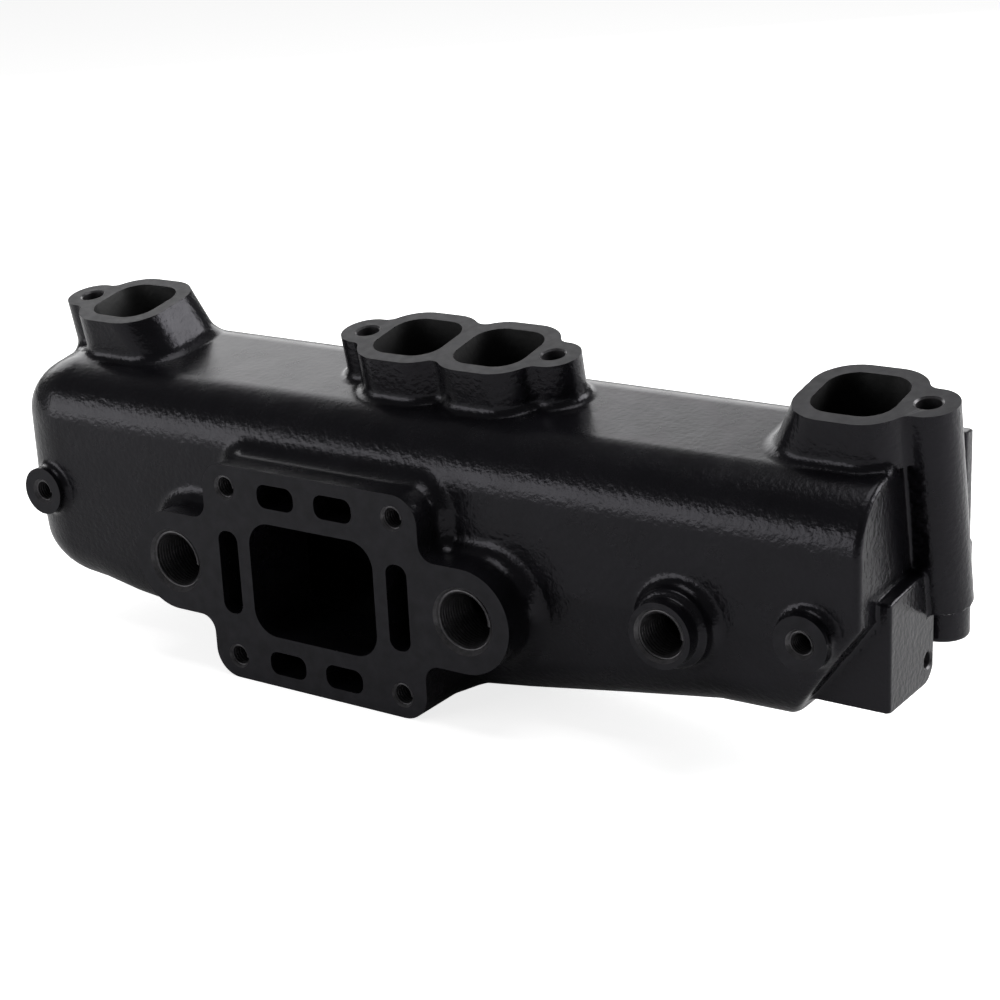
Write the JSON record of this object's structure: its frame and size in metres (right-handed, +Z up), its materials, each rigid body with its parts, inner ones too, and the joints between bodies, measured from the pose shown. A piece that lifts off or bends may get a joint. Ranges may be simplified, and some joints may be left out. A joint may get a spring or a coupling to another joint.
{
  "type": "water-jacketed exhaust manifold",
  "caption": "Water-cooled log exhaust manifold in black painted cast iron, with paired centre ports, a square riser face and open threaded bosses.",
  "frame": {"origin": "on the head face, at the middle of the web between the two middle ports", "axes": "+X along the log towards the square end, -Y out of the riser face, +Z up from the log towards the head face, which leans 11 degrees towards the riser face"},
  "size_m": [0.4803, 0.1122, 0.1566],
  "materials": {
    "painted_iron": "satin black paint over a sand-cast skin",
    "machined_iron": "milled flat, then thinly painted black",
    "bare_iron": "dark rough inner casting skin"
  },
  "bodies": {
    "root": {"top_deck": "painted_iron", "front_wall": "painted_iron", "back_wall": "painted_iron", "floor_wall": "painted_iron", "left_end_cap": "painted_iron", "right_end_cap": "painted_iron", "left_port_tower": "painted_iron", "centre_port_tower": "painted_iron", "right_port_tower": "painted_iron", "left_runner": "bare_iron", "centre_left_runner": "bare_iron", "centre_right_runner": "bare_iron", "right_runner": "bare_iron", "exhaust_gallery": "bare_iron", "riser_duct": "bare_iron", "riser_neck": "painted_iron", "riser_flange": "machined_iron", "left_water_boss": "machined_iron", "right_water_boss": "machined_iron", "left_bolt_sleeve": "painted_iron", "centre_left_bolt_sleeve": "painted_iron", "centre_right_bolt_sleeve": "painted_iron", "right_bolt_column": "painted_iron", "sensor_boss": "machined_iron", "left_bracket_boss": "machined_iron", "right_bracket_boss": "machined_iron", "end_lug": "painted_iron", "rear_rib": "painted_iron", "rear_boss": "painted_iron"}
  },
  "joints": []
}
